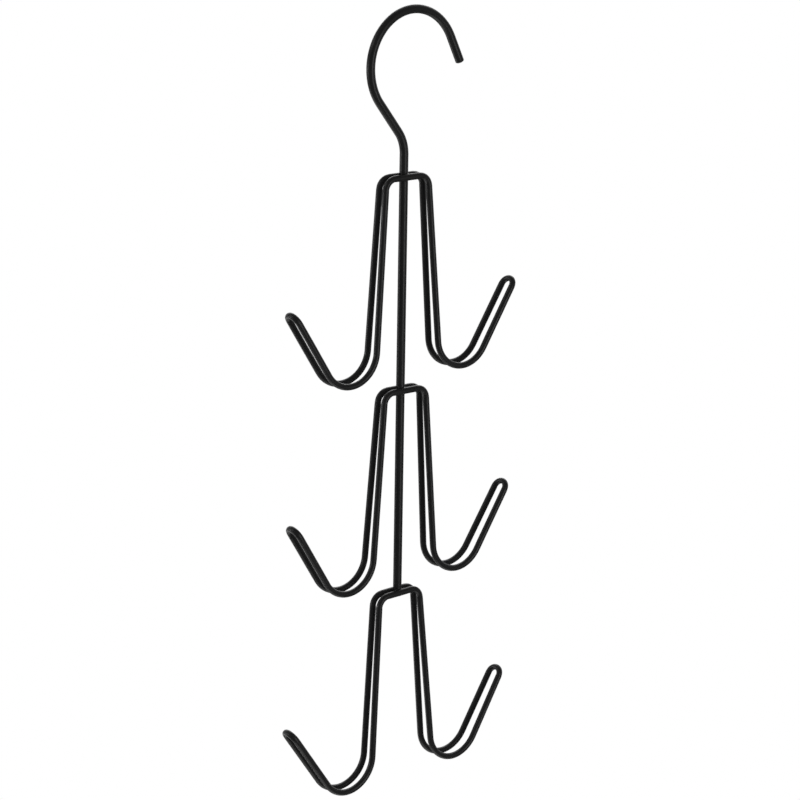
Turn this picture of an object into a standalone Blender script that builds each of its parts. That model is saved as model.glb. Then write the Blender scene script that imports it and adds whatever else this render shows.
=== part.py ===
"""Multi-hook bag hanger, bent and welded from black coated steel wire.

One thick wire is both the closet hook and the stem below it. Three closed loops of
thinner wire are welded across the stem, one above another. Each loop is pinched round
the stem at its crossbar, runs down on both sides and turns up into a rounded prong, so
that six bags hang by their handles.

The origin is the place inside the hook that rests on the closet rod. +X runs along the
loops to the side on which the hook is open, +Y is the back and +Z is up. All sizes are in
metres and all angles in degrees.
"""
import math
from dataclasses import dataclass

import bmesh
import bpy
import numpy as np

# Wire, measured over its coating
STEM_DIAMETER = 0.0053
LOOP_DIAMETER = 0.0040

# Closet hook and neck
HOOK_INNER_RADIUS = 0.0300
HOOK_WRAP = 128.8
HOOK_MOUTH_TURN = 63.2
HOOK_TAIL = 0.0172
HOOK_TIP_CHAMFER = 0.0004
NECK_RUN = 0.0233
NECK_BEND_RADIUS = 0.0215

# How far the hook's flat plane is turned from the X axis, along which the loops lie
HOOK_TURN = 2.3

# Where the loops sit on the stem
FIRST_CROSSBAR_DROP = 0.0955
TIER_SPACING = 0.1300

# One loop, along its centreline
CROSSBAR_RUN = 0.0183
CORNER_RADIUS = 0.0070
LEG_SPLAY = 4.2
LEG_RUN = 0.0970
THROAT_RADIUS = 0.0193
PRONG_RISE = 57.9
PRONG_RUN = 0.0416

# Distance between the front run and the back run of a loop
THROAT_SPREAD = 0.0099
TIP_SPREAD = 0.0098

# How far each loop sits to the right of the stem and above its even spacing
TOP_SHIFT = 0.0005
TOP_LIFT = 0.0
MIDDLE_SHIFT = 0.0015
MIDDLE_LIFT = -0.0007
BOTTOM_SHIFT = -0.0007
BOTTOM_LIFT = -0.0001

# How much wider than the middle value a right throat is spread, and the left one narrower.
# The tips' skew is the other way round.
TOP_SKEW = 0.0003
MIDDLE_SKEW = 0.0007
BOTTOM_SKEW = 0.0010
TIP_SKEW = -0.0003

# How much longer the left prong is than the right one
TOP_LEFT_EXTRA = -0.0012
MIDDLE_LEFT_EXTRA = -0.0020
BOTTOM_LEFT_EXTRA = 0.0020

# Cross welds: how far stem and run sink into each other, the seam left between them and
# how far the squeezed metal stands out
WELD_SET_DOWN = 0.0015
WELD_SEAM = 0.0003
WELD_BEAD_REACH = 0.0011

# Coated finish
COATING_COLOUR = (0.016, 0.016, 0.017, 1.0)
COATING_ROUGHNESS = 0.42

# Smoothness of the model
BEND_STEP = 10.0
TIP_STEP = 18.0
LOOP_BEVEL_RESOLUTION = 4
STEM_BEVEL_RESOLUTION = 6
CUTTER_SIDES = 32
BEAD_SEGMENTS = 16
BEAD_RINGS = 10

# Sizes that follow from those above
STEM_RADIUS = STEM_DIAMETER / 2
LOOP_RADIUS = LOOP_DIAMETER / 2
CROSSBAR_SPREAD = STEM_DIAMETER + LOOP_DIAMETER - 2 * WELD_SET_DOWN


@dataclass(frozen=True)
class Run:
    """A straight stretch of wire."""

    length: float


@dataclass(frozen=True)
class Bend:
    """A round stretch of wire. A positive turn is to the left of the way along it."""

    radius: float
    turn: float


@dataclass(frozen=True)
class Tier:
    """One loop, and the little by which it was bent and welded out of true.

    Twist is about the stem, from the hook's plane, and tilt lifts the right side. The left
    prong rises more steeply than the right one by left_rise.
    """

    name: str
    twist: float
    tilt: float
    shift: float
    lift: float
    skew: float
    left_extra: float
    left_rise: float


TIERS = (
    Tier("top_tier_loop", -3.2, 0.6, TOP_SHIFT, TOP_LIFT, TOP_SKEW, TOP_LEFT_EXTRA, 0.8),
    Tier(
        "middle_tier_loop", -2.3, -0.3, MIDDLE_SHIFT, MIDDLE_LIFT, MIDDLE_SKEW,
        MIDDLE_LEFT_EXTRA, 0.8,
    ),
    Tier(
        "bottom_tier_loop", -1.8, 1.4, BOTTOM_SHIFT, BOTTOM_LIFT, BOTTOM_SKEW,
        BOTTOM_LEFT_EXTRA, -0.6,
    ),
)


@dataclass(frozen=True)
class Prong:
    """One side's prong: how steep and long it is, and how far apart its runs are."""

    rise: float
    run: float
    throat_spread: float
    tip_spread: float


def trace(start, heading, moves):
    """Follow straight runs and bends in the XZ plane.

    Returns the points, as an array of x and z, and each point's distance along the wire.
    """
    point = np.array(start, dtype=float)
    angle = math.radians(heading)
    travelled = 0.0
    points = [point]
    distances = [travelled]
    for move in moves:
        if isinstance(move, Run):
            point = point + move.length * np.array((math.cos(angle), math.sin(angle)))
            travelled += move.length
            points.append(point)
            distances.append(travelled)
            continue
        side = math.copysign(1.0, move.turn)
        centre = point + side * move.radius * np.array((-math.sin(angle), math.cos(angle)))
        steps = math.ceil(abs(move.turn) / BEND_STEP)
        for _ in range(steps):
            angle += math.radians(move.turn / steps)
            travelled += move.radius * math.radians(abs(move.turn) / steps)
            point = centre + side * move.radius * np.array((math.sin(angle), -math.cos(angle)))
            points.append(point)
            distances.append(travelled)
    return np.array(points), np.array(distances)


def hook_and_stem_path():
    """Centreline of the hooked stem wire from the hook's tip down to the stem's end.

    Both halves of the hook are followed from the top of the arc, where the rod bears.
    """
    top = (0.0, STEM_RADIUS)
    hook_radius = HOOK_INNER_RADIUS + STEM_RADIUS
    tip_side, _ = trace(top, 0, [
        Bend(hook_radius, -HOOK_MOUTH_TURN),
        Run(HOOK_TAIL - HOOK_TIP_CHAMFER),
        Run(HOOK_TIP_CHAMFER),
    ])
    stem_side, _ = trace(top, 180, [
        Bend(hook_radius, HOOK_WRAP),
        Run(NECK_RUN),
        Bend(NECK_BEND_RADIUS, 90 - HOOK_WRAP),
    ])
    neck = stem_side[-1]
    stem_end = (neck[0], crossbar_height(len(TIERS) - 1) - LOOP_RADIUS)
    path = np.vstack((tip_side[::-1], stem_side[1:], stem_end))
    return [(x, 0.0, z) for x, z in path]


def crossbar_height(index):
    """Height of a loop's crossbar, with the loops counted down the stem from 0."""
    return -FIRST_CROSSBAR_DROP - index * TIER_SPACING + TIERS[index].lift


def half_loop(prong):
    """Centreline of a loop's right half, from the middle of its crossbar.

    It is followed along the front run to the tip and back along the back run.
    """
    corner_turn = 90 - LEG_SPLAY
    throat_turn = corner_turn + prong.rise
    side, distances = trace((0.0, 0.0), 0, [
        Run(CROSSBAR_RUN / 2),
        Bend(CORNER_RADIUS, -corner_turn),
        Run(LEG_RUN),
        Bend(THROAT_RADIUS, throat_turn),
        Run(prong.run),
    ])
    leg_start = CROSSBAR_RUN / 2 + CORNER_RADIUS * math.radians(corner_turn)
    throat_middle = leg_start + LEG_RUN + THROAT_RADIUS * math.radians(throat_turn) / 2
    spreads = np.interp(
        distances,
        (leg_start, throat_middle, distances[-1]),
        (CROSSBAR_SPREAD, prong.throat_spread, prong.tip_spread),
    )
    front = [(x, -spread / 2, z) for (x, z), spread in zip(side, spreads)]
    back = [(x, -y, z) for x, y, z in reversed(front)]

    end_x, end_z = side[-1]
    rise = math.radians(prong.rise)
    tip_radius = prong.tip_spread / 2
    tip_steps = round(180 / TIP_STEP)
    tip = []
    for step in range(1, tip_steps):
        around = math.pi * step / tip_steps
        reach = tip_radius * math.sin(around)
        tip.append((
            end_x + reach * math.cos(rise),
            -tip_radius * math.cos(around),
            end_z + reach * math.sin(rise),
        ))

    return front[1:] + tip + back[:-1]


def loop_path(tier):
    """Closed centreline of a loop. Its left half is made as a right half and mirrored."""
    right = half_loop(Prong(
        PRONG_RISE, PRONG_RUN, THROAT_SPREAD + tier.skew, TIP_SPREAD + TIP_SKEW,
    ))
    left = half_loop(Prong(
        PRONG_RISE + tier.left_rise, PRONG_RUN + tier.left_extra,
        THROAT_SPREAD - tier.skew, TIP_SPREAD - TIP_SKEW,
    ))
    return right + [(-x, y, z) for x, y, z in reversed(left)]


def wire(name, points, diameter, bevel_resolution, closed=False):
    """Make a round wire along the points, as a curve object with filled caps."""
    curve = bpy.data.curves.new(name, "CURVE")
    curve.dimensions = "3D"
    curve.bevel_depth = diameter / 2
    curve.bevel_resolution = bevel_resolution
    curve.use_fill_caps = True
    spline = curve.splines.new("POLY")
    spline.points.add(len(points) - 1)
    for control, place in zip(spline.points, points):
        control.co = (*place, 1.0)
    spline.use_cyclic_u = closed
    return bpy.data.objects.new(name, curve)


def as_mesh(wire_object):
    """Turn a wire made as a curve into a mesh object of the same name."""
    bpy.context.scene.collection.objects.link(wire_object)
    evaluated = wire_object.evaluated_get(bpy.context.evaluated_depsgraph_get())
    mesh = bpy.data.meshes.new_from_object(evaluated)
    name = wire_object.name
    place = wire_object.matrix_world.copy()
    bpy.data.objects.remove(wire_object)

    shape = bmesh.new()
    shape.from_mesh(mesh)
    bmesh.ops.remove_doubles(shape, verts=shape.verts, dist=0.00001)
    shape.to_mesh(mesh)
    shape.free()
    mesh.shade_smooth()
    mesh_object = bpy.data.objects.new(name, mesh)
    mesh_object.matrix_world = place
    return mesh_object


def coating(name):
    """Satin black coating of one wire."""
    material = bpy.data.materials.new(name)
    material.use_nodes = True
    shader = material.node_tree.nodes["Principled BSDF"]
    shader.inputs["Base Color"].default_value = COATING_COLOUR
    shader.inputs["Roughness"].default_value = COATING_ROUGHNESS
    shader.inputs["Metallic"].default_value = 0.0
    return material


def weld_beads(name):
    """Metal squeezed out of a loop's two cross welds, where its runs bear on the stem."""
    across = LOOP_RADIUS + WELD_BEAD_REACH
    deep = WELD_SET_DOWN / 2 + WELD_BEAD_REACH
    shape = bmesh.new()
    for side in (-1, 1):
        made = bmesh.ops.create_uvsphere(
            shape, u_segments=BEAD_SEGMENTS, v_segments=BEAD_RINGS, radius=1.0
        )
        bmesh.ops.scale(shape, verts=made["verts"], vec=(across, deep, across))
        bmesh.ops.translate(
            shape, verts=made["verts"], vec=(0.0, side * (STEM_RADIUS - WELD_SET_DOWN / 2), 0.0)
        )
    mesh = bpy.data.meshes.new(name)
    shape.to_mesh(mesh)
    shape.free()
    return bpy.data.objects.new(name, mesh)


def stem_cutter(stem_x):
    """Cylinder that leaves the seam between the stem and what is welded to it."""
    length = TIER_SPACING * len(TIERS)
    shape = bmesh.new()
    bmesh.ops.create_cone(
        shape, cap_ends=True, segments=CUTTER_SIDES,
        radius1=STEM_RADIUS + WELD_SEAM, radius2=STEM_RADIUS + WELD_SEAM, depth=length,
    )
    mesh = bpy.data.meshes.new("stem_cutter")
    shape.to_mesh(mesh)
    shape.free()
    cutter = bpy.data.objects.new("stem_cutter", mesh)
    cutter.location = (stem_x, 0.0, (crossbar_height(0) + crossbar_height(len(TIERS) - 1)) / 2)
    return cutter


def add_tool(tool, seat, cutters):
    """Keep a Boolean's second shape out of the picture, beside the parts."""
    tool.hide_render = True
    tool.display_type = "WIRE"
    tool.parent = seat
    cutters.objects.link(tool)


def boolean(target, operation, cutter):
    """Add a Boolean of one cutter to the target."""
    modifier = target.modifiers.new(f"{operation.lower()} {cutter.name}", "BOOLEAN")
    modifier.operation = operation
    modifier.solver = "EXACT"
    modifier.object = cutter


def make_hook_stem(seat, parts):
    """The thick wire: closet hook, neck and stem in one piece.

    Returns the stem's distance from the rod seat, within the hook's plane.
    """
    points = hook_and_stem_path()
    hook_stem = wire("hook_stem", points, STEM_DIAMETER, STEM_BEVEL_RESOLUTION)
    tip = hook_stem.data.splines[0].points[0]
    tip.radius = 1 - HOOK_TIP_CHAMFER / STEM_RADIUS
    hook_stem.data.materials.append(coating("stem_coating"))
    hook_stem.parent = seat
    parts.objects.link(hook_stem)
    return points[-1][0]


def make_loop(index, stem_x, cutter, seat, parts, cutters):
    """One closed loop of thin wire, seated on the stem at its two cross welds."""
    tier = TIERS[index]
    path = loop_path(tier)
    loop = as_mesh(wire(tier.name, path, LOOP_DIAMETER, LOOP_BEVEL_RESOLUTION, closed=True))
    loop.location = (stem_x + tier.shift, 0.0, crossbar_height(index))
    loop.rotation_euler = (0.0, math.radians(-tier.tilt), math.radians(tier.twist))
    loop.data.materials.append(coating(f"{tier.name}_coating"))
    loop.parent = seat
    parts.objects.link(loop)

    beads = weld_beads(f"{tier.name}_beads")
    beads.location = (stem_x, 0.0, crossbar_height(index))
    beads.rotation_euler = loop.rotation_euler
    add_tool(beads, seat, cutters)

    boolean(loop, "UNION", beads)
    boolean(loop, "DIFFERENCE", cutter)


def main():
    """Build the hanger in an emptied scene."""
    for old in list(bpy.data.objects):
        bpy.data.objects.remove(old, do_unlink=True)
    scene = bpy.context.scene
    parts = bpy.data.collections.new("bag_hanger")
    cutters = bpy.data.collections.new("bag_hanger_cutters")
    scene.collection.children.link(parts)
    scene.collection.children.link(cutters)

    seat = bpy.data.objects.new("rod_seat", None)
    seat.rotation_euler = (0.0, 0.0, math.radians(HOOK_TURN))
    parts.objects.link(seat)

    stem_x = make_hook_stem(seat, parts)
    cutter = stem_cutter(stem_x)
    add_tool(cutter, seat, cutters)
    for index in range(len(TIERS)):
        make_loop(index, stem_x, cutter, seat, parts, cutters)


main()
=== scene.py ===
"""Looks of the multi-hook bag hanger: black powder-coated wire in a plain white studio.

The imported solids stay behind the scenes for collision. Each wire is swept again here along
the same centreline, finer and with the marks of real wire goods: sections flattened a little
by bending, deburred cut ends, and fillets where the loops are welded to the stem and the
coat has run into the corners.

Lengths are in metres and angles in degrees, unless a name ends in _mm.
"""
import logging
import math
from dataclasses import dataclass, field
from enum import Enum
from typing import Iterator, Optional, Sequence, Union

import bpy
import numpy as np
from mathutils import Matrix, Vector, noise


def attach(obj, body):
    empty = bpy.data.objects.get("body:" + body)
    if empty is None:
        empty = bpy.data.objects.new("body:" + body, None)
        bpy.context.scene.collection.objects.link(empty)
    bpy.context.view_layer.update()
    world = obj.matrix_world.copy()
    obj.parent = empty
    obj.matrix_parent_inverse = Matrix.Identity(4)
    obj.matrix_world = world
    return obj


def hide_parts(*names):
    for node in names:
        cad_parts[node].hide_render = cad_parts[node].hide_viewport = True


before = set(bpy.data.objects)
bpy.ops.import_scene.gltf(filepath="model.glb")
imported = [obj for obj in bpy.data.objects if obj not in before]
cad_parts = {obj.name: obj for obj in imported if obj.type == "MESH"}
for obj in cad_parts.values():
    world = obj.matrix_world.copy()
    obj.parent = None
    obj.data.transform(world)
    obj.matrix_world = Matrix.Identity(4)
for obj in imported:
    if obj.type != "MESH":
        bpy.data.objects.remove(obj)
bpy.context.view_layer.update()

LOG = logging.getLogger("bag_hanger")
BODY = "root"
# Below this share of the wire's radius over the bend's radius the wire counts as straight
STRAIGHT = 1e-6
# Above this share along Y a wire's first stretch needs another guess for its cross direction
ALONG_Y = 0.9


def linear(hex_colour: str) -> tuple[float, float, float, float]:
    """Turn an sRGB hex colour into the linear values that shaders take.

    Args:
        hex_colour: The colour, such as "#121213".

    Returns:
        Linear red, green, blue and an alpha of 1.
    """
    channels = [int(hex_colour[i:i + 2], 16) / 255 for i in (1, 3, 5)]
    red, green, blue = (
        c / 12.92 if c <= 0.04045 else ((c + 0.055) / 1.055) ** 2.4 for c in channels
    )
    return red, green, blue, 1.0


def add_node(
    tree: bpy.types.NodeTree,
    kind: str,
    settings: Optional[dict] = None,
    links: Optional[dict] = None,
) -> bpy.types.Node:
    """Add a node with its settings and links.

    Args:
        tree: The node tree of a material or of the world.
        kind: The node's type, such as "ShaderNodeBump".
        settings: Values for the node's own properties or, by name or number, its inputs.
        links: Output sockets that feed the node's inputs, by input name or number.

    Returns:
        The new node.
    """
    node = tree.nodes.new(kind)
    for key, value in (settings or {}).items():
        if isinstance(key, str) and key in node.bl_rna.properties:
            setattr(node, key, value)
        else:
            node.inputs[key].default_value = value
    for key, socket in (links or {}).items():
        tree.links.new(socket, node.inputs[key])
    return node


def strength_by_ray(
    tree: bpy.types.NodeTree,
    seen: float,
    plain: float,
    mirrored: bpy.types.NodeSocket,
) -> bpy.types.NodeSocket:
    """Give the camera, the gloss and the rest of the light a strength of their own.

    Args:
        tree: The node tree of the world or of the floor.
        seen: Strength that the camera sees, also through something clear.
        plain: Strength of the light that falls on the hanger.
        mirrored: Socket of the strength that shows in gloss.

    Returns:
        The socket of the strength.
    """
    rays = add_node(tree, "ShaderNodeLightPath").outputs
    in_view = add_node(
        tree, "ShaderNodeMath", {"operation": "MAXIMUM"},
        {0: rays["Is Camera Ray"], 1: rays["Is Transmission Ray"]},
    )
    unseen = add_node(
        tree, "ShaderNodeMix", {2: plain}, {0: rays["Is Glossy Ray"], 3: mirrored},
    )
    strength = add_node(
        tree, "ShaderNodeMix", {3: seen}, {0: in_view.outputs[0], 2: unseen.outputs[0]},
    )
    return strength.outputs[0]


def direction(azimuth: float, elevation: float) -> Vector:
    """Unit vector from the object towards a place round it.

    Args:
        azimuth: 0 is in front of the hanger (-Y), 90 is to its right (+X).
        elevation: Angle above the horizon.

    Returns:
        The direction.
    """
    turn, rise = math.radians(azimuth), math.radians(elevation)
    return Vector((
        math.sin(turn) * math.cos(rise), -math.cos(turn) * math.cos(rise), math.sin(rise),
    ))


def add_piece(
    name: str,
    verts: Sequence,
    faces: Sequence,
    material: bpy.types.Material,
) -> bpy.types.Object:
    """Make a smooth mesh object in the scene.

    Args:
        name: The piece's name.
        verts: Vertex positions in the shared frame.
        faces: Vertex numbers of each face.
        material: The finish of the whole piece.

    Returns:
        The new object, at the origin.
    """
    mesh = bpy.data.meshes.new(name)
    mesh.from_pydata([tuple(v) for v in verts], [], faces)
    mesh.validate()
    mesh.shade_smooth()
    mesh.materials.append(material)
    piece = bpy.data.objects.new(name, mesh)
    bpy.context.scene.collection.objects.link(piece)
    return piece


@dataclass(frozen=True)
class Run:
    """A straight stretch of wire."""

    length: float


@dataclass(frozen=True)
class Bend:
    """A round stretch of wire. A positive turn is to the left of the way along it."""

    radius: float
    turn: float


Move = Union[Run, Bend]


@dataclass(frozen=True)
class Gauge:
    """One gauge of wire, measured over its coat, and how finely it is meshed."""

    diameter: float
    sides: int
    bend_step: float = 3.0
    run_step: float = 0.004

    @property
    def radius(self) -> float:
        """Half the diameter."""
        return self.diameter / 2


STEM_WIRE = Gauge(diameter=0.0053, sides=36)
LOOP_WIRE = Gauge(diameter=0.0040, sides=28)


def follow(
    start: tuple[float, float],
    heading: float,
    moves: Sequence[Move],
    gauge: Gauge,
) -> tuple[np.ndarray, np.ndarray]:
    """Follow straight runs and bends in the XZ plane.

    Args:
        start: First point, as x and z.
        heading: Direction of the first move, 0 along +X and 90 along +Z.
        moves: The runs and bends in order.
        gauge: The wire, for the spacing of the points.

    Returns:
        The points, and each point's distance along the wire.
    """
    point = np.array(start, dtype=float)
    angle = math.radians(heading)
    points, distances = [point], [0.0]
    for move in moves:
        if isinstance(move, Run):
            steps = max(1, math.ceil(move.length / gauge.run_step))
            stride = move.length / steps
            for _ in range(steps):
                point = point + stride * np.array((math.cos(angle), math.sin(angle)))
                points.append(point)
                distances.append(distances[-1] + stride)
            continue
        side = math.copysign(1.0, move.turn)
        centre = point + side * move.radius * np.array((-math.sin(angle), math.cos(angle)))
        steps = math.ceil(abs(move.turn) / gauge.bend_step)
        for _ in range(steps):
            angle += math.radians(move.turn / steps)
            point = centre + side * move.radius * np.array((math.sin(angle), -math.cos(angle)))
            points.append(point)
            distances.append(distances[-1] + move.radius * math.radians(abs(move.turn) / steps))
    return np.array(points), np.array(distances)


@dataclass
class Wire:
    """A round wire swept along a centreline into one closed mesh.

    A real wire flattens a little on the inside and outside of a bend. The flattening grows
    with the wire's radius over the bend's radius.
    """

    centreline: np.ndarray
    gauge: Gauge
    closed: bool
    edge_round: float = 0.0004
    end_dome: float = 0.00012
    edge_steps: int = 6
    flattening: float = 0.2

    def frames(self) -> tuple[np.ndarray, np.ndarray, np.ndarray, np.ndarray]:
        """Tangent, two cross directions without twist, and the bend's pull at each point.

        Returns:
            Four arrays of vectors, one row a point. The pull is the curvature vector times
            the wire's radius.
        """
        line = self.centreline
        if self.closed:
            ahead, behind = np.roll(line, -1, axis=0), np.roll(line, 1, axis=0)
        else:
            ahead = np.vstack((line[1:], 2 * line[-1] - line[-2]))
            behind = np.vstack((2 * line[0] - line[1], line[:-1]))
        forward = np.linalg.norm(ahead - line, axis=1, keepdims=True)
        back = np.linalg.norm(line - behind, axis=1, keepdims=True)
        unit_ahead, unit_behind = (ahead - line) / forward, (line - behind) / back
        tangents = unit_ahead + unit_behind
        tangents /= np.linalg.norm(tangents, axis=1, keepdims=True)
        pulls = (unit_ahead - unit_behind) / ((forward + back) / 2) * self.gauge.radius

        across = np.zeros_like(line)
        sideways = abs(tangents[0][1]) < ALONG_Y
        guess = np.array((0.0, 1.0, 0.0) if sideways else (0.0, 0.0, 1.0))
        for i, tangent in enumerate(tangents):
            guess = guess - tangent * (guess @ tangent)
            guess = guess / np.linalg.norm(guess)
            across[i] = guess
        if self.closed:
            last = across[-1] - tangents[0] * (across[-1] @ tangents[0])
            other = np.cross(tangents[0], across[0])
            gap = math.atan2(last @ other, last @ across[0])
            for i, share in enumerate(np.linspace(0, 1, len(line), endpoint=False)):
                turn, side = -gap * share, np.cross(tangents[i], across[i])
                across[i] = math.cos(turn) * across[i] + math.sin(turn) * side
        return tangents, across, np.cross(tangents, across), pulls

    def rings(self) -> Iterator[tuple[np.ndarray, float, int]]:
        """Walk the section rings along the wire, with the rounded edges of its cut ends.

        Returns:
            Each ring's centre, its radius and the number of the point it belongs to.
        """
        tangents = self.frames()[0]
        last = len(self.centreline) - 1
        for i, centre in enumerate(self.centreline):
            if self.closed or i not in (0, last):
                yield centre, self.gauge.radius, i
                continue
            inward = tangents[i] if i == 0 else -tangents[i]
            steps = range(self.edge_steps, -1, -1) if i == 0 else range(self.edge_steps + 1)
            for step in steps:
                around = math.pi / 2 * step / self.edge_steps
                depth = self.end_dome + self.edge_round * (1 - math.sin(around))
                shrink = self.edge_round * (1 - math.cos(around))
                yield centre + inward * depth, self.gauge.radius - shrink, i

    def build(self, name: str, material: bpy.types.Material) -> bpy.types.Object:
        """Sweep the wire.

        Args:
            name: The piece's name.
            material: Its finish.

        Returns:
            The wire as a mesh object.
        """
        _, across, up, pulls = self.frames()
        around = np.linspace(0, 2 * math.pi, self.gauge.sides, endpoint=False)
        cosines, sines = np.cos(around)[:, None], np.sin(around)[:, None]
        verts, count = [], 0
        for centre, radius, i in self.rings():
            offsets = radius * (cosines * across[i] + sines * up[i])
            pull = np.linalg.norm(pulls[i])
            if pull > STRAIGHT:
                unit = pulls[i] / pull
                offsets = offsets - self.flattening * pull * np.outer(offsets @ unit, unit)
            verts.extend(centre + offsets)
            count += 1

        sides = self.gauge.sides
        faces = []
        for ring in range(count if self.closed else count - 1):
            base, following = ring * sides, (ring + 1) % count * sides
            for k in range(sides):
                along = (k + 1) % sides
                faces.append((base + k, base + along, following + along, following + k))
        if not self.closed:
            for ring, end, flip in ((0, 0, True), (count - 1, -1, False)):
                hub, base = len(verts), ring * sides
                verts.append(self.centreline[end])
                for k in range(sides):
                    pair = (base + k, base + (k + 1) % sides)
                    faces.append((hub, *(pair[::-1] if flip else pair)))
        return add_piece(name, verts, faces, material)


class Slot(Enum):
    """Material slots stem_coating and loop_coating; no piece here takes its finish from them."""

    STEM = "stem_coating"
    LOOP = "loop_coating"


@dataclass(frozen=True)
class PowderCoat:
    """Black polyester powder coat, sprayed dry on steel wire and baked in an oven.

    To the eye it is a satin near-black: broad soft lights along each wire, a fine orange
    peel where the powder melted together, and lights a little tighter where it lay thicker.
    It is a plastic film, so its IOR is 1.5 and it isn't metallic.
    """

    name: str
    colour: str = "#090909"
    thin_colour: str = "#0E0E0F"
    ior: float = 1.5
    metallic: float = 0.0
    smooth_roughness: float = 0.34
    dull_roughness: float = 0.44
    # Orange peel of a powder coat is 1 to 3 mm from crest to crest
    peel_mm: float = 1.6
    peel_height_mm: float = 0.012
    peel_detail: float = 1.0
    # Powder grains are about 0.05 mm, too fine to show, so they are drawn 0.4 mm coarse
    grain_mm: float = 0.4
    grain_height_mm: float = 0.003
    grain_detail: float = 2.0
    # The film's thickness drifts over a few centimetres, as the spray gun passed, and the
    # noise that draws it lies mostly between the low and the high value
    drift_mm: float = 24.0
    drift_detail: float = 2.0
    drift_low: float = 0.3
    drift_high: float = 0.7

    def material(self) -> bpy.types.Material:
        """Make the node material of this coat.

        Returns:
            The material.
        """
        material = bpy.data.materials.new(self.name)
        material.use_nodes = True
        tree = material.node_tree
        shader = tree.nodes["Principled BSDF"]
        shader.inputs["IOR"].default_value = self.ior
        shader.inputs["Metallic"].default_value = self.metallic

        place = add_node(tree, "ShaderNodeTexCoord").outputs["Object"]
        drift, peel, grain = (
            add_node(
                tree, "ShaderNodeTexNoise",
                {"Scale": 1000 / size_mm, "Detail": detail}, {"Vector": place},
            ).outputs["Fac"]
            for size_mm, detail in (
                (self.drift_mm, self.drift_detail),
                (self.peel_mm, self.peel_detail),
                (self.grain_mm, self.grain_detail),
            )
        )

        colour = add_node(
            tree, "ShaderNodeMix",
            {"data_type": "RGBA", 6: linear(self.colour), 7: linear(self.thin_colour)},
            {0: drift},
        )
        tree.links.new(colour.outputs[2], shader.inputs["Base Color"])

        roughness = add_node(
            tree, "ShaderNodeMapRange",
            {
                "From Min": self.drift_low, "From Max": self.drift_high,
                "To Min": self.smooth_roughness, "To Max": self.dull_roughness,
            },
            {"Value": drift},
        )
        tree.links.new(roughness.outputs["Result"], shader.inputs["Roughness"])

        waves = add_node(
            tree, "ShaderNodeBump", {"Distance": self.peel_height_mm / 1000}, {"Height": peel},
        )
        grains = add_node(
            tree, "ShaderNodeBump", {"Distance": self.grain_height_mm / 1000},
            {"Height": grain, "Normal": waves.outputs["Normal"]},
        )
        tree.links.new(grains.outputs["Normal"], shader.inputs["Normal"])
        return material


@dataclass
class HookStem:
    """The thick wire: closet hook, neck and stem, cut square and deburred at both ends.

    The hook lies in a plane turned a little from the loops. Its inner top is the origin.
    """

    finish: PowderCoat
    plane_turn: float = 2.3
    inner_radius: float = 0.0300
    wrap: float = 128.8
    mouth_turn: float = 63.2
    tail: float = 0.0172
    neck_run: float = 0.0233
    neck_bend_radius: float = 0.0215
    stem_bottom: float = -0.3576
    gauge: Gauge = STEM_WIRE

    @property
    def seat(self) -> Matrix:
        """The hook's plane in the shared frame."""
        return Matrix.Rotation(math.radians(self.plane_turn), 4, "Z")

    def centreline(self) -> np.ndarray:
        """Draw the centreline in the hook's plane.

        Returns:
            The points, from the hook's tip to the stem's lower end.
        """
        top = (0.0, self.gauge.radius)
        bend_radius = self.inner_radius + self.gauge.radius
        tip_side, _ = follow(
            top, 0, [Bend(bend_radius, -self.mouth_turn), Run(self.tail)], self.gauge,
        )
        bends = [
            Bend(bend_radius, self.wrap),
            Run(self.neck_run),
            Bend(self.neck_bend_radius, 90 - self.wrap),
        ]
        neck, _ = follow(top, 180, bends, self.gauge)
        stem, _ = follow(neck[-1], -90, [Run(neck[-1][1] - self.stem_bottom)], self.gauge)
        flat = np.vstack((tip_side[::-1], neck[1:], stem[1:]))
        return np.column_stack((flat[:, 0], np.zeros(len(flat)), flat[:, 1]))

    @property
    def stem_x(self) -> float:
        """Distance of the stem's axis from the rod seat, in the hook's plane."""
        return float(self.centreline()[-1][0])

    def build(self) -> bpy.types.Object:
        """Sweep the wire and dress it.

        Returns:
            The wire as a mesh object.
        """
        line = np.array([self.seat @ Vector(p) for p in self.centreline()])
        piece = Wire(line, self.gauge, closed=False).build("hook_stem_wire", self.finish.material())
        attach(piece, BODY)
        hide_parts("hook_stem")
        return piece


@dataclass(frozen=True)
class Prong:
    """How steep and long one prong is, and how far apart its runs are at throat and tip.

    The bow is what the runs stand further apart near the tip than an even change gives.
    """

    rise: float
    run: float
    throat_spread: float
    tip_spread: float
    bow: float = 0.0


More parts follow.
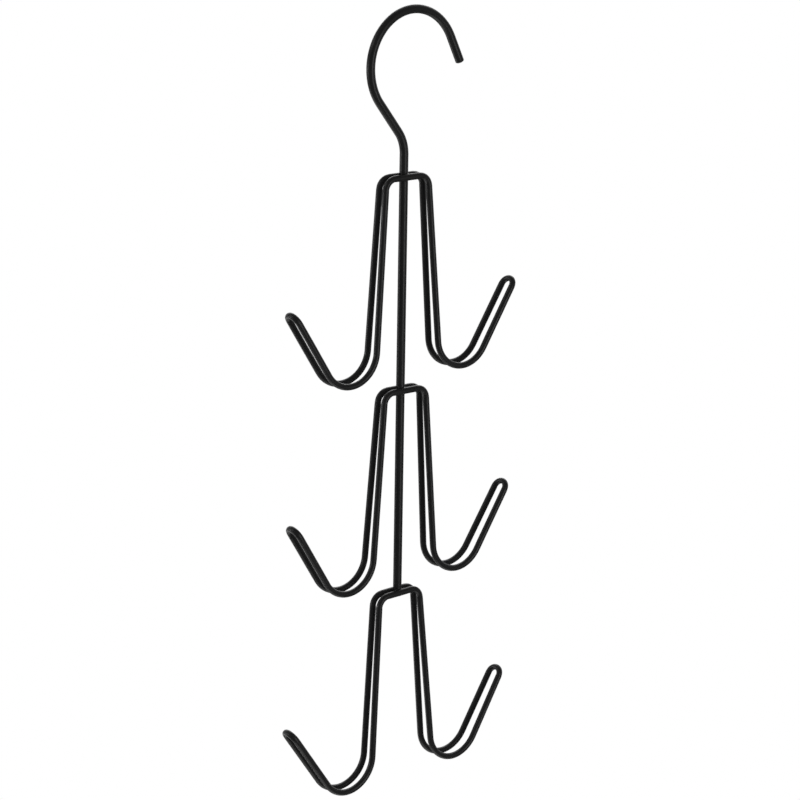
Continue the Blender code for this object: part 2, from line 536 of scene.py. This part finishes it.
@dataclass
class TierLoop:
    """One endless loop of thin wire, pinched round the stem and bent up into two prongs.

    Twist is about the stem and from the hook's plane, tilt lifts the right side and shift
    is to the right, as the loop was welded a little out of true. Its right throat is wider
    than the middle value by the skew, and its left throat narrower. Its left prong is
    longer and steeper than the right one, and its runs bow apart near the tip, by the three
    values named left. The bow is widest at bow_place, a share of the way from the middle of
    the throat to the tip.
    """

    tier: str
    crossbar_height: float
    twist: float
    tilt: float
    shift: float
    skew: float
    left_longer: float
    left_steeper: float
    left_bow: float
    stem: HookStem
    finish: PowderCoat
    crossbar_run: float = 0.0183
    corner_radius: float = 0.0070
    leg_splay: float = 4.2
    leg_run: float = 0.0970
    throat_radius: float = 0.0193
    prong_rise: float = 57.9
    prong_run: float = 0.0416
    crossbar_spread: float = 0.0063
    throat_spread: float = 0.0099
    tip_spread: float = 0.0098
    tip_skew: float = -0.0003
    tip_steps: int = 28
    bow_place: float = 0.75
    gauge: Gauge = LOOP_WIRE

    @property
    def place(self) -> Matrix:
        """Where the middle of the loop's crossbar is in the shared frame."""
        return (
            self.stem.seat
            @ Matrix.Translation((self.stem.stem_x + self.shift, 0.0, self.crossbar_height))
            @ Matrix.Rotation(math.radians(self.twist), 4, "Z")
            @ Matrix.Rotation(math.radians(-self.tilt), 4, "Y")
        )

    def half(self, prong: Prong) -> np.ndarray:
        """Centreline of the right half: out along the front run and home along the back one.

        Args:
            prong: The shape of this side's prong.

        Returns:
            The points, with the middle of the crossbar at both ends.
        """
        corner_turn = 90 - self.leg_splay
        throat_turn = corner_turn + prong.rise
        side, distances = follow((0.0, 0.0), 0, [
            Run(self.crossbar_run / 2),
            Bend(self.corner_radius, -corner_turn),
            Run(self.leg_run),
            Bend(self.throat_radius, throat_turn),
            Run(prong.run),
        ], self.gauge)
        leg_start = self.crossbar_run / 2 + self.corner_radius * math.radians(corner_turn)
        throat = leg_start + self.leg_run + self.throat_radius * math.radians(throat_turn) / 2
        bowed, bowed_spread = (
            low + self.bow_place * (high - low)
            for low, high in ((throat, distances[-1]), (prong.throat_spread, prong.tip_spread))
        )
        spreads = np.interp(
            distances,
            (leg_start, throat, bowed, distances[-1]),
            (self.crossbar_spread, prong.throat_spread, bowed_spread + prong.bow, prong.tip_spread),
        )
        front = np.column_stack((side[:, 0], -spreads / 2, side[:, 1]))

        rise = math.radians(prong.rise)
        around = np.linspace(0, math.pi, self.tip_steps + 1)[1:-1]
        reach = prong.tip_spread / 2 * np.sin(around)
        tip = np.column_stack((
            side[-1][0] + reach * math.cos(rise),
            -prong.tip_spread / 2 * np.cos(around),
            side[-1][1] + reach * math.sin(rise),
        ))
        return np.vstack((front, tip, front[::-1] * (1, -1, 1)))

    def centreline(self) -> np.ndarray:
        """Join the two halves into the loop's closed centreline.

        Returns:
            The points, from the middle of the crossbar out along the right front run.
        """
        right = self.half(Prong(
            self.prong_rise, self.prong_run,
            self.throat_spread + self.skew, self.tip_spread + self.tip_skew,
        ))
        left = self.half(Prong(
            self.prong_rise + self.left_steeper, self.prong_run + self.left_longer,
            self.throat_spread - self.skew, self.tip_spread - self.tip_skew, self.left_bow,
        ))
        return np.vstack((right, left[-2:0:-1] * (-1, 1, 1)))

    def build(self) -> bpy.types.Object:
        """Sweep the wire and dress it.

        Returns:
            The wire as a mesh object.
        """
        line = np.array([self.place @ Vector(p) for p in self.centreline()])
        piece = Wire(line, self.gauge, closed=True).build(
            f"{self.tier}_loop_wire", self.finish.material(),
        )
        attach(piece, BODY)
        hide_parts(f"{self.tier}_tier_loop")
        return piece


class StemFace(Enum):
    """Faces of the stem that a loop's two runs are welded to."""

    FRONT = -1
    BACK = 1


@dataclass
class CrossWeld:
    """Metal and coat that fill the corner round a run welded across the stem.

    A ball rolled round the crossing in touch with both wires leaves this fillet. The ball's
    size wanders round the weld, a few lobes a turn, because squeezed weld metal is never even.
    """

    loop: TierLoop
    face: StemFace
    finish: PowderCoat
    seed: int
    fillet_radius: float = 0.00060
    wander: float = 0.00012
    lobes: float = 1.3
    seed_stride: float = 7.3
    embed: float = 0.00001
    root_depth: float = 0.00025
    around_steps: int = 72
    arc_steps: int = 8
    halvings: int = 40

    def ball(self, turn: float) -> tuple[Vector, float, Vector, Vector]:
        """Find where the rolling ball rests in one direction from the weld's middle.

        Args:
            turn: Direction in the plane of contact, in radians.

        Returns:
            The ball's centre and radius, and the points where it touches stem and run.
        """
        loop, stem = self.loop, self.loop.stem
        run_place = loop.place @ Vector((0.0, self.face.value * loop.crossbar_spread / 2, 0.0))
        run_way = (loop.place.to_3x3() @ Vector((1.0, 0.0, 0.0))).normalized()
        axis = stem.seat @ Vector((stem.stem_x, 0.0, loop.crossbar_height))
        up = Vector((0.0, 0.0, 1.0))
        outward = run_way.cross(up).normalized()
        if outward.dot(run_place - axis) < 0:
            outward.negate()
        sideways = outward.cross(up)
        middle = axis + up * (run_place.z - axis.z - (run_place - axis).dot(run_way) * run_way.z)

        across, along = math.cos(turn), math.sin(turn)
        swell = noise.noise(Vector((
            across * self.lobes, along * self.lobes, self.seed * self.seed_stride,
        )))
        radius = self.fillet_radius + self.wander * 2 * swell
        stem_reach = stem.gauge.radius - self.embed + radius
        run_reach = loop.gauge.radius - self.embed + radius
        step = across * sideways + along * up

        def centre_at(travel: float) -> Vector:
            """Ball's centre on the stem's side, at a distance along the direction."""
            height = math.sqrt(max(stem_reach ** 2 - (travel * across) ** 2, 0.0))
            return middle + travel * step + height * outward

        def off_run(centre: Vector) -> Vector:
            """Vector from the run's axis to the ball's centre."""
            away = centre - run_place
            return away - run_way * away.dot(run_way)

        # The ball rests within twice its reach of the middle; the place is found by halving
        near, far = 0.0, stem_reach / max(abs(across), 0.5)
        for _ in range(self.halvings):
            travel = (near + far) / 2
            if off_run(centre_at(travel)).length < run_reach:
                near = travel
            else:
                far = travel
        centre = centre_at(near)
        from_stem = centre - middle
        from_stem.z = 0.0
        on_stem = centre - from_stem.normalized() * radius
        on_run = centre - off_run(centre).normalized() * radius
        return centre, radius, on_stem, on_run

    def build(self) -> bpy.types.Object:
        """Sweep the fillet round the crossing and dress it.

        Returns:
            The fillet as a closed mesh object.
        """
        verts, faces = [], []
        for i in range(self.around_steps):
            centre, radius, on_stem, on_run = self.ball(2 * math.pi * i / self.around_steps)
            first, last = (on_stem - centre).normalized(), (on_run - centre).normalized()
            for step in range(self.arc_steps + 1):
                verts.append(centre + radius * first.slerp(last, step / self.arc_steps))
            verts.append(on_run + last * self.root_depth)
            verts.append(on_stem + first * self.root_depth)
        # Each section has its arc's points and two roots, inside the run and inside the stem
        width = self.arc_steps + 3
        for i in range(self.around_steps):
            base, following = i * width, (i + 1) % self.around_steps * width
            for k in range(width):
                along = (k + 1) % width
                corners = (base + k, base + along, following + along, following + k)
                faces.append(corners if self.face is StemFace.FRONT else corners[::-1])
        name = f"{self.loop.tier}_{self.face.name.lower()}_weld"
        piece = add_piece(name, verts, faces, self.finish.material())
        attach(piece, BODY)
        return piece


@dataclass(frozen=True)
class Softbox:
    """A large soft lamp that faces the hanger from one side. Its power is in watts."""

    name: str
    azimuth: float
    elevation: float
    distance: float
    width: float
    height: float
    power: float

    def add(self, aim: Vector) -> bpy.types.Object:
        """Hang the lamp.

        Args:
            aim: The point that it faces.

        Returns:
            The lamp's object.
        """
        lamp = bpy.data.lights.new(self.name, "AREA")
        lamp.shape = "RECTANGLE"
        lamp.size, lamp.size_y = self.width, self.height
        lamp.energy = self.power
        holder = bpy.data.objects.new(self.name, lamp)
        away = direction(self.azimuth, self.elevation)
        holder.location = aim + away * self.distance
        holder.rotation_euler = away.to_track_quat("Z", "Y").to_euler()
        holder.visible_camera = False
        bpy.context.scene.collection.objects.link(holder)
        return holder


@dataclass(frozen=True)
class FloorPaint:
    """Matt white paint rolled on the studio's floor.

    To the eye it is a pale, even ground that takes a soft shadow and shows no gloss. The
    camera sees it as white as the backdrop. In the wires' gloss it glows on its far side
    only, and more the farther it is behind, at a rate that reaches glow at glow_depth.
    """

    name: str = "pale_studio_floor"
    colour: str = "#EDEDEB"
    roughness: float = 0.9
    glow: float = 0.8
    glow_colour: str = "#FFFFFF"
    glow_depth: float = 1.5

    def material(self, behind: Vector) -> bpy.types.Material:
        """Make the node material of the floor.

        Args:
            behind: Level direction from the camera to the far side of the studio.

        Returns:
            The material.
        """
        material = bpy.data.materials.new(self.name)
        material.use_nodes = True
        tree = material.node_tree
        shader = tree.nodes["Principled BSDF"]
        shader.inputs["Base Color"].default_value = linear(self.colour)
        shader.inputs["Roughness"].default_value = self.roughness
        shader.inputs["Emission Color"].default_value = linear(self.glow_colour)
        place = add_node(tree, "ShaderNodeNewGeometry").outputs["Position"]
        depth = add_node(
            tree, "ShaderNodeVectorMath", {"operation": "DOT_PRODUCT", 1: tuple(behind)},
            {0: place},
        )
        mirrored = add_node(
            tree, "ShaderNodeMapRange", {"From Max": self.glow_depth, "To Max": self.glow},
            {"Value": depth.outputs["Value"]},
        )
        strength = strength_by_ray(tree, self.glow, 0.0, mirrored.outputs["Result"])
        tree.links.new(strength, shader.inputs["Emission Strength"])
        return material


@dataclass
class Studio:
    """Camera, white backdrop, pale floor and soft lamps.

    The hanger hangs at a closet rod's height above the floor. In the wires' gloss the white
    backdrop stands behind the hanger and fades to the sides and below, and the room in front
    is dim, as in a real studio. So the wires stay black, with a light rim where they are
    seen at a grazing angle. The backdrop starts where a direction's share along the view is
    backdrop_edge, and fades below from the height named fade_top to none at fade_bottom.
    """

    aim: Vector = field(default_factory=lambda: Vector((-0.00620, -0.00019, -0.23261)))
    azimuth: float = -38.80
    elevation: float = 15.40
    roll: float = 0.901
    distance: float = 1.45003
    lens_mm: float = 107.527
    sensor_mm: float = 36.0
    clip_start: float = 0.05
    clip_end: float = 60.0
    floor_height: float = -1.60
    floor_half: float = 0.6
    floor_paint: FloorPaint = FloorPaint()
    room_light: float = 0.85
    room_gloss: float = 0.12
    backdrop_gloss: float = 0.88
    backdrop_edge: float = 0.3
    fade_bottom: float = -0.45
    fade_top: float = -0.2
    lamps: tuple[Softbox, ...] = (
        Softbox("right_softbox", azimuth=10.1, elevation=-1.6, distance=1.5,
                width=0.420, height=1.090, power=3.60),
        Softbox("left_softbox", azimuth=-123.0, elevation=-0.5, distance=1.5,
                width=0.800, height=0.315, power=2.85),
        Softbox("high_left_softbox", azimuth=-112.0, elevation=41.0, distance=1.5,
                width=0.917, height=0.315, power=1.36),
        Softbox("low_left_softbox", azimuth=-158.8, elevation=-40.0, distance=1.5,
                width=1.336, height=0.638, power=3.20),
        Softbox("back_softbox", azimuth=141.2, elevation=25.0, distance=1.5,
                width=1.200, height=0.500, power=3.02),
    )

    @property
    def behind(self) -> Vector:
        """Level direction from the camera to the far side of the studio."""
        return -direction(self.azimuth, 0.0)

    def add_camera(self) -> bpy.types.Object:
        """Set up the camera at the photograph's viewing angle.

        Returns:
            The camera's object.
        """
        back = direction(self.azimuth, self.elevation)
        level = Vector((0.0, 0.0, 1.0)).cross(back).normalized()
        upright = back.cross(level)
        tip = math.radians(self.roll)
        right = level * math.cos(tip) + upright * math.sin(tip)
        up = back.cross(right)
        lens = bpy.data.cameras.new("studio_camera")
        lens.lens, lens.sensor_width = self.lens_mm, self.sensor_mm
        lens.clip_start, lens.clip_end = self.clip_start, self.clip_end
        camera = bpy.data.objects.new("studio_camera", lens)
        camera.matrix_world = Matrix.Translation(self.aim + back * self.distance) @ Matrix(
            (right, up, back)
        ).transposed().to_4x4()
        bpy.context.scene.collection.objects.link(camera)
        bpy.context.scene.camera = camera
        return camera

    def add_world(self) -> None:
        """Hang the white backdrop, seen by the camera and in the gloss of what faces it."""
        world = bpy.data.worlds.new("white_backdrop")
        world.use_nodes = True
        bpy.context.scene.world = world
        tree = world.node_tree
        background = tree.nodes["Background"]
        background.inputs["Color"].default_value = linear("#FFFFFF")
        way = add_node(tree, "ShaderNodeTexCoord").outputs["Generated"]
        facing = add_node(
            tree, "ShaderNodeVectorMath", {"operation": "DOT_PRODUCT", 1: tuple(self.behind)},
            {0: way},
        )
        backdrop = add_node(
            tree, "ShaderNodeMapRange",
            {"From Min": self.backdrop_edge, "To Max": self.backdrop_gloss},
            {"Value": facing.outputs["Value"]},
        )
        height = add_node(tree, "ShaderNodeSeparateXYZ", links={0: way}).outputs["Z"]
        above = add_node(
            tree, "ShaderNodeMapRange",
            {"From Min": self.fade_bottom, "From Max": self.fade_top}, {"Value": height},
        )
        gloss = add_node(
            tree, "ShaderNodeMath", {"operation": "MULTIPLY_ADD", 2: self.room_gloss},
            {0: backdrop.outputs["Result"], 1: above.outputs["Result"]},
        )
        strength = strength_by_ray(tree, 1.0, self.room_light, gloss.outputs[0])
        tree.links.new(strength, background.inputs["Strength"])

    def add_floor(self) -> bpy.types.Object:
        """Lay the pale floor, which keeps the object's shadow.

        Returns:
            The floor's object.
        """
        half, low = self.floor_half, self.floor_height
        corners = [(-half, -half, low), (half, -half, low), (half, half, low), (-half, half, low)]
        paint = self.floor_paint.material(self.behind)
        floor = add_piece("studio_floor", corners, [(0, 1, 2, 3)], paint)
        return floor

    def add_lamps(self) -> None:
        """Hang the soft lamps round the hanger."""
        for lamp in self.lamps:
            lamp.add(self.aim)


def main() -> None:
    """Build the studio and the hanger, and report each piece."""
    logging.basicConfig(level=logging.INFO, format="%(name)s: %(message)s")
    bpy.context.scene.view_settings.view_transform = "Standard"
    studio = Studio()
    studio.add_camera()
    studio.add_world()
    studio.add_floor()
    studio.add_lamps()

    stem = HookStem(PowderCoat("powder_coated_stem_wire"))
    loops = [
        TierLoop(
            "top", crossbar_height=-0.0955, twist=-3.2, tilt=0.6, shift=0.0005, skew=0.0003,
            left_longer=-0.0012, left_steeper=0.8, left_bow=0.0003,
            stem=stem, finish=PowderCoat("powder_coated_top_wire"),
        ),
        TierLoop(
            "middle", crossbar_height=-0.2262, twist=-2.3, tilt=-0.3, shift=0.0015, skew=0.0007,
            left_longer=-0.0020, left_steeper=0.8, left_bow=0.0,
            stem=stem, finish=PowderCoat("powder_coated_middle_wire"),
        ),
        TierLoop(
            "bottom", crossbar_height=-0.3556, twist=-1.8, tilt=1.4, shift=-0.0007, skew=0.0010,
            left_longer=0.0020, left_steeper=-0.6, left_bow=0.0,
            stem=stem, finish=PowderCoat("powder_coated_bottom_wire"),
        ),
    ]
    weld_coat = PowderCoat("powder_coat_run_into_welds", smooth_roughness=0.30, dull_roughness=0.38)
    welds = [
        CrossWeld(loop, face, weld_coat, seed)
        for seed, (loop, face) in enumerate((loop, face) for loop in loops for face in StemFace)
    ]
    for part in (stem, *loops, *welds):
        piece = part.build()
        LOG.info("%s: %d faces", piece.name, len(piece.data.polygons))


if __name__ == "__main__":
    main()
